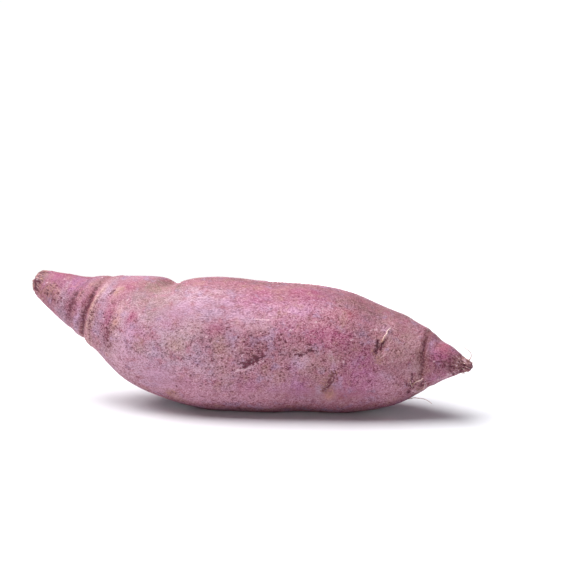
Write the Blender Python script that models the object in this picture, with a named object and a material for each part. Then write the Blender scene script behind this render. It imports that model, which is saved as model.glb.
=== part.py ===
"""A whole purple sweet potato, lying on its belly.

It is one swollen root, so it is one solid. A curved core line runs through it from the stem end to
the tail, and round sections are lofted along that line. Everything else is relief on those
sections: low lobes, the tight rings behind the stem end, the waist, the step before the tail, and
the dimples of the eyes where side roots grew. The belly is cut flat where it lies.

Metres, +Z up. The root lies along X with its stem end at -X and its tail at +X, and -Y is the side
that faces the viewer. The origin is on the surface that it lies on, under the middle of its box.
"""

import math

import bmesh
import bpy
import numpy as np
from mathutils import Vector

# Driving dimensions
LENGTH = 0.1766  # from stem end to tail
GIRTH_RADIUS = 0.0262  # about the thickest place
DEPTH_SHARE = 1.05  # how much wider than high the root is

# The core line: share of the length from the stem end, how far back it runs, and its height
CORE_LINE = (
    (0.000, 0.0218, 0.0473),
    (0.012, 0.0213, 0.0467),
    (0.030, 0.0205, 0.0454),
    (0.062, 0.0188, 0.0432),
    (0.100, 0.0168, 0.0404),
    (0.150, 0.0139, 0.0378),
    (0.200, 0.0109, 0.0352),
    (0.250, 0.0082, 0.0320),
    (0.300, 0.0057, 0.0291),
    (0.360, 0.0030, 0.0272),
    (0.440, 0.0007, 0.0261),
    (0.520, -0.0008, 0.0254),
    (0.600, -0.0019, 0.0254),
    (0.680, -0.0033, 0.0245),
    (0.740, -0.0051, 0.0228),
    (0.800, -0.0077, 0.0217),
    (0.860, -0.0116, 0.0219),
    (0.920, -0.0158, 0.0225),
    (1.000, -0.0216, 0.0214),
)

# The girth: share of the length, and the section's radius as a share of GIRTH_RADIUS
GIRTH = (
    (0.000, 0.250),
    (0.030, 0.262),
    (0.062, 0.328),
    (0.100, 0.406),
    (0.150, 0.530),
    (0.190, 0.636),
    (0.225, 0.738),
    (0.260, 0.832),
    (0.300, 0.904),
    (0.345, 0.952),
    (0.395, 0.984),
    (0.450, 0.998),
    (0.520, 0.996),
    (0.611, 0.979),
    (0.680, 0.944),
    (0.735, 0.900),
    (0.768, 0.852),
    (0.801, 0.782),
    (0.828, 0.714),
    (0.854, 0.638),
    (0.877, 0.542),
    (0.899, 0.456),
    (0.922, 0.356),
    (0.943, 0.272),
    (0.965, 0.178),
    (0.982, 0.100),
    (1.000, 0.066),
)

# Round ends: how much of the length each cap takes
STEM_CAP = 0.0030
TAIL_CAP = 0.0022

# Lobes that make the root less than round: how many round it, height as a share of the radius,
# the angle of the first one in degrees, and how far they turn from end to end
LOBES = (
    (2, 0.014, 40.0, 120.0),
    (3, 0.012, 75.0, -90.0),
    (5, 0.006, 20.0, 60.0),
)

# Long swells in the girth: how many along the length, height, and where round the root they peak
SWELLS = (
    (2.6, 0.00045, 70.0, 0.4),
    (4.3, 0.00035, 200.0, 1.9),
    (6.7, 0.00022, 310.0, 3.1),
)

# Rings round the root: share of the length, half width, depth (a ridge is negative), how far the
# ring leans towards the tail on top, and the angle in degrees where it is deepest
RINGS = (
    (0.0110, 0.0008, 0.00050, 0.0000, 10.0),
    (0.1170, 0.0012, 0.00045, 0.0000, -15.0),
    (0.1570, 0.0016, 0.00085, 0.0014, -15.0),
    (0.1720, 0.0013, -0.00045, 0.0012, -20.0),
    (0.9130, 0.0016, 0.00080, 0.0019, -5.0),
)

# Hollows: share of the length, angle round the root, half length, half width, depth, and the turn
# of the long side away from the length, all angles in degrees
HOLLOWS = (
    (0.302, 80.0, 0.0120, 0.0045, 0.00130, 60.0),  # the waist over the top
    (0.300, 112.0, 0.0140, 0.0040, 0.00180, 94.0),  # the fold behind it
    (0.006, -80.0, 0.0028, 0.0048, 0.00130, 0.0),  # the worn lower edge of the stem end
    (0.079, -88.0, 0.0060, 0.0060, 0.00050, 0.0),  # under the neck
    (0.250, -80.0, 0.0120, 0.0100, 0.00070, 0.0),  # under the waist
    (0.778, 98.0, 0.0110, 0.0120, 0.00065, 0.0),  # the long slope of the back
    (0.871, -78.0, 0.0080, 0.0100, 0.00060, 0.0),  # where the belly lifts to the tail
    (0.929, 98.0, 0.0024, 0.0080, 0.00100, 0.0),  # the notch at the tail
    (0.526, -3.0, 0.0060, 0.0035, 0.00030, 25.0),  # a grazed patch
    (0.713, -14.0, 0.0050, 0.0030, 0.00045, -50.0),  # a split in the skin
    (0.834, 28.0, 0.0042, 0.0030, 0.00070, 60.0),  # an eye with its side root
    (0.893, -42.0, 0.0040, 0.0026, 0.00080, -70.0),  # the eye before the tail
    (0.188, 47.0, 0.0036, 0.0026, 0.00040, 70.0),
    (0.230, 140.0, 0.0048, 0.0030, 0.00070, 70.0),
    (0.345, 205.0, 0.0052, 0.0032, 0.00080, 50.0),
    (0.470, 150.0, 0.0055, 0.0032, 0.00080, 65.0),
    (0.600, 218.0, 0.0050, 0.0032, 0.00070, 60.0),
    (0.690, 128.0, 0.0052, 0.0030, 0.00080, 70.0),
    (0.815, 185.0, 0.0042, 0.0030, 0.00070, 60.0),
)

# Rises, set out as the hollows are
RISES = (
    (0.530, -43.0, 0.0500, 0.0085, 0.00120, 0.0),  # the full flank above the belly
    (0.238, 100.0, 0.0080, 0.0120, 0.00060, 0.0),  # the shoulder in front of the waist
    (0.906, 98.0, 0.0030, 0.0060, 0.00030, 0.0),  # the shoulder before the tail
)

# How finely the sections follow each other: where each stretch ends, and the step inside it
STATION_STEPS = (
    (0.0030, 0.00050),
    (0.0180, 0.00180),
    (0.0330, 0.00110),
    (0.0560, 0.00180),
    (0.0680, 0.00150),
    (0.1400, 0.00280),
    (0.1560, 0.00170),
    (0.1660, 0.00085),
    (LENGTH - 0.0022, 0.00160),
    (LENGTH, 0.00045),
)
SECTION_SIDES = 44

SKIN_COLOUR = (0.40, 0.20, 0.28, 1.0)
SKIN_ROUGHNESS = 0.6


def natural_spline(knots, values):
    """The smooth curve through these values, as a function of the knots' own measure."""
    x, y = np.array(knots, float), np.array(values, float)
    gaps = np.diff(x)
    slopes = np.diff(y) / gaps
    size = len(x)
    system, right = np.eye(size), np.zeros(size)
    for i in range(1, size - 1):
        system[i, i - 1 : i + 2] = gaps[i - 1], 2 * (gaps[i - 1] + gaps[i]), gaps[i]
        right[i] = 6 * (slopes[i] - slopes[i - 1])
    bend = np.linalg.solve(system, right)

    def at(t):
        i = int(np.clip(np.searchsorted(x, t) - 1, 0, size - 2))
        a, b, gap = x[i + 1] - t, t - x[i], gaps[i]
        cubes = (bend[i] * a**3 + bend[i + 1] * b**3) / (6 * gap)
        lines = (y[i] / gap - bend[i] * gap / 6) * a + (y[i + 1] / gap - bend[i + 1] * gap / 6) * b
        return float(cubes + lines)

    return at


core_back = natural_spline([k[0] for k in CORE_LINE], [k[1] for k in CORE_LINE])
core_height = natural_spline([k[0] for k in CORE_LINE], [k[2] for k in CORE_LINE])
girth_share = natural_spline([k[0] for k in GIRTH], [k[1] for k in GIRTH])


def core_point(share):
    return Vector(((share - 0.5) * LENGTH, core_back(share), core_height(share)))


def core_frame(share):
    """The core point with the directions along the root, towards its front and towards its top."""
    step = 0.002
    along = (core_point(share + step) - core_point(share - step)).normalized()
    top = (Vector((0, 0, 1)) - along * along.z).normalized()
    return core_point(share), along, along.cross(top), top


def cap_share(distance):
    """How much of the full radius is left near the round ends, at this distance from the stem end."""
    near = 1.0
    for reach, cap in ((distance, STEM_CAP), (LENGTH - distance, TAIL_CAP)):
        if reach < cap:
            near *= math.sqrt(max(0.0, 1 - (1 - reach / cap) ** 2))
    return near


def lobe_share(share, angle):
    raised = 0.0
    for count, height, first, turn in LOBES:
        raised += height * math.cos(count * (angle - math.radians(first + turn * share)))
    return 1 + raised


def swell(share, angle):
    raised = 0.0
    for count, height, peak, phase in SWELLS:
        where = 0.5 + 0.5 * math.cos(angle - math.radians(peak))
        raised += height * where * math.sin(2 * math.pi * count * share + phase)
    return raised


def ring_relief(share, angle):
    """How far the rings press in or stand out here."""
    raised = 0.0
    for place, half_width, depth, lead, deepest in RINGS:
        away = (share - place) * LENGTH - lead * math.sin(angle)
        strength = 0.6 + 0.4 * math.cos(angle - math.radians(deepest))
        raised -= depth * strength * math.exp(-((away / half_width) ** 2))
    return raised


def round_radius(share, angle):
    """The section's radius before the hollows are pressed in."""
    radius = GIRTH_RADIUS * girth_share(share) * cap_share(share * LENGTH)
    width = math.hypot(math.cos(angle) * DEPTH_SHARE, math.sin(angle))
    shaped = radius * width * lobe_share(share, angle)
    fade = min(1.0, radius / (0.35 * GIRTH_RADIUS))
    return shaped + fade * (swell(share, angle) + ring_relief(share, angle))


def relief_of(marks, share, angle):
    """How deep these hollows, or how high these rises, are here. Each is measured over the skin from
    its own middle."""
    depth_here = 0.0
    for place, middle, half_length, half_width, depth, turn in marks:
        along = (share - place) * LENGTH
        if abs(along) > 2.5 * half_length:
            continue
        apart = (angle - math.radians(middle) + math.pi) % (2 * math.pi) - math.pi
        around = apart * GIRTH_RADIUS * girth_share(place)
        c, s = math.cos(math.radians(turn)), math.sin(math.radians(turn))
        lengthwise, crosswise = along * c + around * s, around * c - along * s
        depth_here += depth * math.exp(-((lengthwise / half_length) ** 2) - (crosswise / half_width) ** 2)
    return depth_here


def skin_point(share, angle):
    """The point of the skin at this share of the length and angle: 0 is the front, 90 degrees the top."""
    middle, _, front, top = core_frame(share)
    radius = round_radius(share, angle) - relief_of(HOLLOWS, share, angle) + relief_of(RISES, share, angle)
    return middle + radius * (front * math.cos(angle) + top * math.sin(angle))


def station_shares():
    """The places of the sections, closer together where the rings and the tail need it."""
    shares, place = [], 0.0
    for end, step in STATION_STEPS:
        count = max(1, round((end - place) / step))
        shares += [(place + (end - place) * i / count) / LENGTH for i in range(count)]
        place = end
    return shares[1:]


def loft_root():
    """A mesh of sections from the stem end to the tail, closed to a point at both ends."""
    mesh = bmesh.new()
    angles = [2 * math.pi * i / SECTION_SIDES for i in range(SECTION_SIDES)]
    rings = [[mesh.verts.new(skin_point(share, a)) for a in angles] for share in station_shares()]
    for ring, following in zip(rings, rings[1:]):
        for i in range(SECTION_SIDES):
            j = (i + 1) % SECTION_SIDES
            mesh.faces.new((ring[i], ring[j], following[j], following[i]))
    for ring, share in ((rings[0], 0.0), (rings[-1], 1.0)):
        tip = mesh.verts.new(core_point(share))
        for i in range(SECTION_SIDES):
            mesh.faces.new((ring[i], ring[(i + 1) % SECTION_SIDES], tip))
    bmesh.ops.recalc_face_normals(mesh, faces=mesh.faces)
    return mesh


def cut_belly_flat(mesh):
    """Cuts off what would reach below the surface, and closes the cut with one flat face."""
    everything = list(mesh.verts) + list(mesh.edges) + list(mesh.faces)
    cut = bmesh.ops.bisect_plane(
        mesh,
        geom=everything,
        dist=1e-6,
        plane_co=(0, 0, 0),
        plane_no=(0, 0, -1),
        clear_outer=True,
    )
    rim = [item for item in cut["geom_cut"] if isinstance(item, bmesh.types.BMEdge)]
    bmesh.ops.edgeloop_fill(mesh, edges=rim)
    bmesh.ops.recalc_face_normals(mesh, faces=mesh.faces)


def centre_over_origin(mesh):
    """Slides the mesh so that the middle of its box lies over the origin."""
    for axis in (0, 1):
        reach = [vertex.co[axis] for vertex in mesh.verts]
        shift = Vector((0, 0, 0))
        shift[axis] = -0.5 * (min(reach) + max(reach))
        bmesh.ops.translate(mesh, verts=mesh.verts, vec=shift)


def skin_material():
    material = bpy.data.materials.new("sweet_potato_skin")
    material.use_nodes = True
    shader = material.node_tree.nodes["Principled BSDF"]
    shader.inputs["Base Color"].default_value = SKIN_COLOUR
    shader.inputs["Roughness"].default_value = SKIN_ROUGHNESS
    shader.inputs["Metallic"].default_value = 0.0
    return material


def build():
    for old in list(bpy.data.objects):
        bpy.data.objects.remove(old)
    mesh = loft_root()
    cut_belly_flat(mesh)
    centre_over_origin(mesh)
    data = bpy.data.meshes.new("sweet_potato")
    mesh.to_mesh(data)
    mesh.free()
    root = bpy.data.objects.new("sweet_potato", data)
    bpy.context.scene.collection.objects.link(root)
    root.data.materials.append(skin_material())
    root.data.shade_smooth()


build()
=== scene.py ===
# %% [markdown]
# # A purple sweet potato
# A sweet potato is a storage root: one swollen piece with a thin corky skin, a blunt end where it hung
# from the stem and a woody tail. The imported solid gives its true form. This script gives it the skin:
# a fine mesh with the rings, eyes, splits and scars in real relief, a material for the mottled skin,
# and the few rootlets that are still attached.

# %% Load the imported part
import math

import bpy
import bmesh
import numpy as np
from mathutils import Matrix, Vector, noise
from mathutils.bvhtree import BVHTree


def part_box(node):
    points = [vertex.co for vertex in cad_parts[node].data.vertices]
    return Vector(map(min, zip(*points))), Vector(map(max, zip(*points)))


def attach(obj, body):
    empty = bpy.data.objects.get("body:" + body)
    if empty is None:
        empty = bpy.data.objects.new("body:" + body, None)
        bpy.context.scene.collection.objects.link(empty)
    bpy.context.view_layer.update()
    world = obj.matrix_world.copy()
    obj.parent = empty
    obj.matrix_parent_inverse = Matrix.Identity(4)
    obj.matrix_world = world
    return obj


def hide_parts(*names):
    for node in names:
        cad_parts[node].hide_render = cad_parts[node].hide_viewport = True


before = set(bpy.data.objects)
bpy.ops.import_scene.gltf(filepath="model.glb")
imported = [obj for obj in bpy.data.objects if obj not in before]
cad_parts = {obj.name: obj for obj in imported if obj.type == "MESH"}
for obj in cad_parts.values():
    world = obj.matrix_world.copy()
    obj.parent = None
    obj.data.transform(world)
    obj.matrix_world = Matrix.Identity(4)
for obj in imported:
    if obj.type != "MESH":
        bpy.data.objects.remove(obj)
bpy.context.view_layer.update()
MM = 0.001

# %% [markdown]
# The camera comes first, because many marks on the skin are placed by where they lie in the
# photograph. A long lens a little above the table flattens the view as a product photograph does.

# %% Camera
PHOTO_SIDE = 573
LENS_MM = 85
SENSOR_MM = 36
CAMERA_RISE = math.radians(10)
CAMERA_DISTANCE = 0.541
LOOK_AT = Vector((0.0162, -0.0011, 0.04955))
TOWARDS_CAMERA = Vector((0, -math.cos(CAMERA_RISE), math.sin(CAMERA_RISE)))

camera = bpy.data.objects.new("camera", bpy.data.cameras.new("camera"))
bpy.context.scene.collection.objects.link(camera)
camera.data.lens = LENS_MM
camera.data.sensor_width = SENSOR_MM
camera.location = LOOK_AT + TOWARDS_CAMERA * CAMERA_DISTANCE
camera.rotation_euler = (-TOWARDS_CAMERA).to_track_quat("-Z", "Y").to_euler()
camera.data.clip_start = 0.01
bpy.context.scene.camera = camera


def photo_ray(px, py):
    """The camera's place and the direction from it through a pixel of the photograph."""
    across = (px - PHOTO_SIDE / 2) / PHOTO_SIDE * SENSOR_MM / LENS_MM
    up = (PHOTO_SIDE / 2 - py) / PHOTO_SIDE * SENSOR_MM / LENS_MM
    upward = Vector((0, math.sin(CAMERA_RISE), math.cos(CAMERA_RISE)))
    return camera.location.copy(), (Vector((across, 0, 0)) + upward * up - TOWARDS_CAMERA).normalized()


print("camera at", [round(v, 3) for v in camera.location])

# %% [markdown]
# The solid is made of flat facets, and splitting them finer would keep their kinks, so the skin is
# made anew over it. First a core line is found inside the solid: at each slice across the root, rays
# to both sides and up and down find the middle. A smooth curve through those middles is the line
# that the skin's sections follow.

# %% The solid to measure from
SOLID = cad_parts["sweet_potato"]
MIDDLE = (270, 335)


def tree_of(obj):
    """A search tree of the object's surface, with the doubled corners of its facets merged."""
    merged = bmesh.new()
    merged.from_mesh(obj.data)
    bmesh.ops.remove_doubles(merged, verts=merged.verts, dist=1e-6)
    tree = BVHTree.FromBMesh(merged)
    merged.free()
    return tree


solid_tree = tree_of(SOLID)


def on_root(px, py):
    """The point of the root's surface that shows at this pixel of the photograph, or at the first
    pixel towards the root's middle that isn't past its outline."""
    for share in np.linspace(0, 0.1, 60):
        hit = solid_tree.ray_cast(*photo_ray(px + share * (MIDDLE[0] - px), py + share * (MIDDLE[1] - py)))[0]
        if hit is not None:
            return hit
    raise ValueError(f"the root isn't near pixel {px}, {py}")


print("the front's middle lies at", [round(v / MM) for v in on_root(*MIDDLE)], "mm")

# %% Core line
STEM_FAN, TAIL_FAN = 0.0048, 0.0030
SLICES = 70
CORE_BENDS = 9


def middle_of_slice(x, start):
    """The middle of the slice at this x, from rays that start at a point inside the root."""
    middle = Vector((x, start.y, start.z))
    for _ in range(3):
        for way in (Vector((0, 1, 0)), Vector((0, 0, 1))):
            ahead, behind = (solid_tree.ray_cast(middle, w)[0] for w in (way, -way))
            middle = (ahead + behind) / 2
    return middle


def core_curve():
    """Smooth curves for the y and z of the core line over x, and the x where each end's fan starts."""
    low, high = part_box("sweet_potato")
    first, last = low.x + STEM_FAN, high.x - TAIL_FAN
    point, middles = Vector((0, 0, (low.z + high.z) / 2)), {}
    grid = np.linspace(first, last, SLICES)
    start = int(np.abs(grid).argmin())
    for order in (range(start, SLICES), range(start, -1, -1)):
        inside = point
        for i in order:
            inside = middle_of_slice(grid[i], inside)
            middles[i] = inside
    found = np.array([middles[i] for i in range(SLICES)])
    half = (last - first) / 2
    scaled = (grid - first - half) / half
    curves = [np.poly1d(np.polyfit(scaled, found[:, k], CORE_BENDS)) for k in (1, 2)]
    return curves, first, half


core_curves, CORE_START, CORE_HALF = core_curve()


def core_at(x):
    """Points of the core line and its unit directions at these x."""
    t = (x - CORE_START - CORE_HALF) / CORE_HALF
    points = np.stack([x, core_curves[0](t), core_curves[1](t)], 1)
    ways = np.stack([np.ones_like(x), *(c.deriv()(t) / CORE_HALF for c in core_curves)], 1)
    return points, ways / np.linalg.norm(ways, axis=1, keepdims=True)


print("core line from x", round(CORE_START / MM, 1), "to", round((CORE_START + 2 * CORE_HALF) / MM, 1), "mm")

# %% [markdown]
# The skin is a grid: sections along the core line, 0.45 mm apart, and points round each section,
# closer together on the side that faces the camera. Past each end of the core line, the rays
# swing round like a fan until they point along it, so the grid closes over the blunt ends.

# %% Sections
SPACING = 0.45 * MM
SIDES = 212
FRONT_ANGLE, CROWDING = math.radians(15), 0.33
# the lean in degrees of the first and last section of each end's fan, and the number of its sections
STEM_LEANS, TAIL_LEANS = (-86, -4, 20), (8, 82, 9)


def stations():
    """The origin, direction, lean and length so far of each section, with the fans at both ends."""
    x = np.linspace(CORE_START, CORE_START + 2 * CORE_HALF, 4000)
    points, _ = core_at(x)
    run = np.concatenate([[0], np.cumsum(np.linalg.norm(np.diff(points, axis=0), axis=1))])
    wanted = np.linspace(0, run[-1], round(run[-1] / SPACING) + 1)
    origins, ways = core_at(np.interp(wanted, run, x))
    stem_leans, tail_leans = (np.radians(np.linspace(*fan)) for fan in (STEM_LEANS, TAIL_LEANS))
    leans = np.concatenate([stem_leans, np.zeros(len(wanted)), tail_leans])
    last = len(wanted) - 1
    pick = np.concatenate([[0] * len(stem_leans), np.arange(last + 1), [last] * len(tail_leans)])
    return origins[pick], ways[pick], leans, wanted[pick]


def section_angles():
    """Angles round a section from the belly on: 0 is the front, 90 degrees the top."""
    even = np.arange(SIDES) / SIDES * 2 * math.pi - math.pi / 2
    return even - CROWDING * np.sin(even - FRONT_ANGLE)


origins, ways, leans, run = stations()
angles = section_angles()
tops = np.array([0, 0, 1.0]) - ways * ways[:, 2:]
tops /= np.linalg.norm(tops, axis=1, keepdims=True)
fronts = np.cross(ways, tops)
print("sections:", len(origins), "with", SIDES, "points each")


# %% Rays to the surface
def ray_directions():
    """The direction of every ray, by section and angle."""
    ring = fronts[:, None] * np.cos(angles)[None, :, None] + tops[:, None] * np.sin(angles)[None, :, None]
    lean = leans[:, None, None]
    return ring * np.cos(lean) + ways[:, None] * np.sin(lean)


directions = ray_directions()


def reach_of_rays():
    """How far each ray runs from the core line to the solid's surface."""
    reach = np.empty(directions.shape[:2])
    for i, origin in enumerate(origins):
        start = Vector(origin)
        for j, way in enumerate(directions[i]):
            reach[i, j] = solid_tree.ray_cast(start, Vector(way))[3]
    return reach


def smoothed(field, times):
    """The field with each value eased towards its neighbours along and round the root."""
    for _ in range(times):
        field = (np.roll(field, 1, 1) + 2 * field + np.roll(field, -1, 1)) / 4
        padded = np.concatenate([field[:1], field, field[-1:]])
        field = (padded[:-2] + 2 * padded[1:-1] + padded[2:]) / 4
    return field


reach = smoothed(reach_of_rays(), 4)
base = origins[:, None] + directions * reach[..., None]
along = (run + np.sin(leans) * reach.mean(1))[:, None] + np.zeros(SIDES)
along = (along - along.min()) / MM
girth = reach / MM
turn = np.broadcast_to(angles, girth.shape)
print("grid", base.shape[:2], "length along the skin", round(float(along.max()), 1), "mm")

# %% [markdown]
# Patterns that follow the root need a straightened root: its length along the core line as x, and
# the section round it as y and z, all in millimetres. Noise in that space has no seam, and it can
# be stretched along the root or round it.

# %% Straightened coordinates and noise
straight = np.stack([along, girth * np.cos(turn), girth * np.sin(turn)], 2)


def bumps(size, seed, octaves=1):
    """Noise from about -1 to 1 over the whole skin, with bumps of this size in mm, as one value or as
    three: along the root, and round it twice."""
    points = (straight / np.array(size) + seed * 13.7).reshape(-1, 3).tolist()
    if octaves == 1:
        values = [noise.noise(p) for p in points]
    else:
        values = [noise.fractal(p, 1.0, 2.0, octaves) for p in points]
    return np.array(values).reshape(girth.shape)


def normals_of(points):
    """The outward direction at each point of the grid."""
    lengthwise = np.gradient(points, axis=0)
    round_it = np.roll(points, -1, 1) - np.roll(points, 1, 1)
    cross = np.cross(round_it, lengthwise)
    cross /= np.linalg.norm(cross, axis=2, keepdims=True) + 1e-12
    outward = np.sign((cross * directions).sum(2, keepdims=True))
    return cross * outward


base_normals = normals_of(base)
print("normals face out:", bool(((base_normals * directions).sum(2) > 0).all()))

# %% [markdown]
# Relief is added in layers, each a height in millimetres over the skin. Sculpting it by hand would
# also work, but a sum of layers can be tuned one by one. A real root is never quite round, so broad
# low swells come first, and then fine wrinkles that run round the neck and the tail.

# %% Relief: swells and wrinkles
LENGTH_MM = float(along.max())
# depth in mm, then the size in mm, the seed and the octaves of the noise
SWELLS = ((0.22, 16, 1, 1), (0.10, 6.5, 2, 1), (0.03, (2.6, 2.2, 2.2), 6, 2))
# where each part's look starts and is full, in mm from the stem end, or for two of them from the tail's
NECK_FADES, TAIL_STARTS, TIP_STARTS, UPPER_FADES = (22, 52), (26, 16), (9, 3.5), (95, 135)
UPPER_ANGLES = (0.25, 0.9)
NECK_WRINKLE, TAIL_WRINKLE = 0.08, 0.06


def step(low, high, value):
    """0 below low, 1 above high, and an even curve between."""
    t = np.clip((value - low) / (high - low), 0, 1)
    return t * t * (3 - 2 * t)


neck = 1 - step(*NECK_FADES, along)
tail = step(*(LENGTH_MM - v for v in TAIL_STARTS), along)
tip = step(*(LENGTH_MM - v for v in TIP_STARTS), along)
upper = step(*np.sin(UPPER_ANGLES), np.sin(turn)) * (1 - 0.8 * step(*UPPER_FADES, along))
height = sum(depth * bumps(*pattern) for depth, *pattern in SWELLS)
wrinkles = 1 - np.abs(bumps((1.2, 7, 7), 7, 2)) * 2
height += (NECK_WRINKLE * neck + TAIL_WRINKLE * tail) * wrinkles
print("swells and wrinkles from", round(float(height.min()), 2), "to", round(float(height.max()), 2), "mm")

# %% [markdown]
# Many features are placed by the pixel of the photograph where they show. The ray through a pixel
# meets the solid, and the nearest grid point tells how far along and round the root that is. It
# puts each mark where it is on the real root without unwrapping the photograph.

# %% Places on the skin
PIXEL_MM = 0.4


def nearest_on_grid(point):
    """The row and column of the grid point nearest to a point."""
    return np.unravel_index((((base - np.array(point)) ** 2).sum(2)).argmin(), girth.shape)


def place_on_grid(point):
    """The length along the root and the angle of the grid point nearest to a point."""
    i, j = nearest_on_grid(point)
    return float(along[i, j]), float(turn[i, j])


def turn_between(a, b):
    """The angle from b to a, from minus half a turn to half a turn."""
    return (a - b + math.pi) % (2 * math.pi) - math.pi


def oval(centre, half_length, half_height):
    """How far each grid point lies from a centre, squared: 1 on an oval with these half sizes in mm."""
    a, t = place_on_grid(centre)
    return ((along - a) / half_length) ** 2 + (turn_between(turn, t) * girth / half_height) ** 2


print("the front's middle lies", round(place_on_grid(on_root(*MIDDLE))[0]), "mm from the stem end")

# %% [markdown]
# The grain is what makes skin look like skin: a net of fine curls, drawn out into lines on the upper
# side. The folds of a noise, where it crosses zero, make such a net. A bump alone would cast no
# shadow, so the grain is real relief first. It is rough in the middle of the front and calm below,
# and some places have a change of their own.

# %% Relief: grain, with calmer and rougher places
GRAIN_DEPTH = 0.042
ROUGHEST_AT, ROUGHEST_HALF_MM = 98, 24
ROUGHEST_ANGLE, ROUGHEST_HALF_TURN = -0.05, 0.75
CALM_ANGLES, CALM_FADES = (-0.5, -1.1), (105, 140)
GRAIN_PLACES = (
    # pixel at the middle, half length and half height in pixels, and how much rougher it is there
    ((215, 388), 50, 11, -0.50), ((300, 393), 50, 8, -0.50), ((150, 372), 30, 14, -0.25),
    ((345, 395), 40, 8, -0.40), ((180, 312), 40, 10, -0.30), ((325, 338), 34, 14, 0.35),
    ((275, 345), 20, 20, 0.2), ((375, 350), 30, 14, 0.2), ((105, 325), 9, 18, 0.50),
    ((60, 302), 12, 8, 0.30), ((250, 366), 16, 9, 0.20), ((252, 380), 20, 5, -0.25),
)
curls = 1 - 3 * np.abs(bumps((1.5, 1.0, 1.0), 3))
lines = 1 - 3 * np.abs(bumps((3.0, 1.0, 1.0), 4))
grain = curls * (1 - 0.65 * upper) + lines * 0.45 * upper
roughest = np.exp(-(((along - ROUGHEST_AT) / ROUGHEST_HALF_MM) ** 2)
                  - (turn_between(turn, ROUGHEST_ANGLE) / ROUGHEST_HALF_TURN) ** 2)
calm = step(*np.sin(CALM_ANGLES), np.sin(turn)) * (1 - step(*CALM_FADES, along))
coarse = np.clip(0.95 + 0.3 * bumps((18, 12, 12), 5, 2) - 0.4 * upper - 0.2 * neck - 0.3 * calm
                 + 0.6 * roughest, 0.4, 1.6)
for pixel, half_x, half_y, change in GRAIN_PLACES:
    away = oval(on_root(*pixel), half_x * PIXEL_MM, half_y * PIXEL_MM)
    coarse = np.clip(coarse + change * np.exp(-0.7 * away), 0.3, 1.6)
fine = GRAIN_DEPTH * grain * coarse * (1 - 0.3 * neck)
height += fine
print("grain depth up to", round(float(fine.max() - fine.min()), 3), "mm")

# %% [markdown]
# Tight rings circle the neck, where the root stopped and started growing, and a last one sets off
# the tail. Each visible stretch is read off the photograph, and the hidden stretch joins its ends
# behind. A ring is a soft groove with a low lip on each side, crossed by fine strands. Cut with a
# tool shape it would be too even, so it is added to the heights, with a wander of its own. Each
# mark also notes how it colours the skin: dark in a crease, partly its own colour and partly painted
# shade, corky over a wound, pale on a scar, and pale as a painted highlight where a grain glints.

# %% Rings read off the photograph
RINGS = (
    # name, pixels from top to bottom, half width in mm, depth in mm, darkness
    ("scar rim", ((41, 272), (36, 279), (35.6, 286), (37, 292)), 0.5, 0.20, 0.2),
    ("neck ring", ((80, 289), (74.5, 297.7), (71.3, 305.5), (69.4, 313), (69.6, 320.5)), 0.95, 0.30, 0.55),
    ("deep ring", ((97, 287), (93.7, 293.2), (91.1, 300.4), (88.5, 305), (85.3, 312.7), (83.3, 320.6),
                   (82.7, 327), (83.3, 335.5)), 0.95, 0.50, 0.70),
    ("ring lip", ((104, 289), (98, 296), (94.5, 302.3), (92, 308.8), (89.6, 317.3), (88.4, 325.8),
                  (88.4, 333.6), (90.2, 341.4)), 0.9, -0.30, 0.0),
    ("thin ring", ((98, 299), (94.2, 308), (92, 318), (90.4, 328), (89.8, 336), (91.8, 346)), 0.4, 0.22, 0.5),
    ("faint ring", ((116, 280), (108, 292), (103, 306), (100.5, 320), (100, 335), (103, 352)), 1.3, 0.12,
     0.0),
    ("tail ring", ((431, 331), (426.5, 339), (424.2, 350), (422.8, 360.2), (422.2, 367), (422.4, 374),
                   (424, 381)), 1.0, 0.35, 0.25),
)
print("rings read off:", len(RINGS))

# %% Relief: rings round the root
tint = {name: np.zeros(girth.shape) for name in ("crease", "cork", "pale")}


def stain_and_painted_light(name, cover):
    """Notes a colour where it is stronger than what is there: stains, painted shade and painted highlights.
    """
    tint[name] = np.maximum(tint[name], cover)


def ring_line(pixels):
    """How far along the root a ring lies at each angle of the grid."""
    places = sorted((math.degrees(t) % 360, a) for a, t in (place_on_grid(on_root(*p)) for p in pixels))
    return np.interp(np.degrees(angles) % 360, *zip(*places), period=360)


def seen_share(pixels):
    """1 over the angles that the pixels cover, easing to a lower share round the back."""
    covered = [place_on_grid(on_root(*p))[1] for p in pixels]
    middle, half = (max(covered) + min(covered)) / 2, (max(covered) - min(covered)) / 2
    return 1 - 0.6 * step(half - 0.35, half + 0.7, np.abs(turn_between(angles, middle)))


strands = bumps((0.6, 7, 7), 31, 2)
stain_and_painted_light("crease", 0.35 * neck * step(4, 12, along) * step(0.10, 0.55, bumps((0.85, 5, 5), 33, 2)))
ring_cover = {}
for number, (name, pixels, half_width, depth, dark) in enumerate(RINGS):
    wander = 0.35 * bumps((60, 3, 3), 20 + number)
    width = half_width * (1 + 0.5 * bumps((60, 2.5, 2.5), 40 + number))
    away = (along - ring_line(pixels) + wander) / width
    seen = seen_share(pixels)
    strength = seen * np.clip(0.95 + 0.7 * bumps((60, 3.5, 3.5), 30 + number), 0.3, 1.3)
    core = strength * np.exp(-away**2)
    height += 0.22 * abs(depth) * strength * np.exp(-((np.abs(away) - 2.0) ** 2)) - depth * core
    height += 0.14 * strands * strength * np.exp(-((away / 2.5) ** 2))
    # dark in the groove, partly the ring's own colour and partly painted shade
    stain_and_painted_light("crease", dark * core * seen * (0.75 + 0.6 * step(0.0, -0.4, strands)))
    ring_cover[name] = strength * np.exp(-((away / 1.5) ** 2)) * (0.75 + 0.6 * strands)
print("rings:", list(ring_cover))

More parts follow.
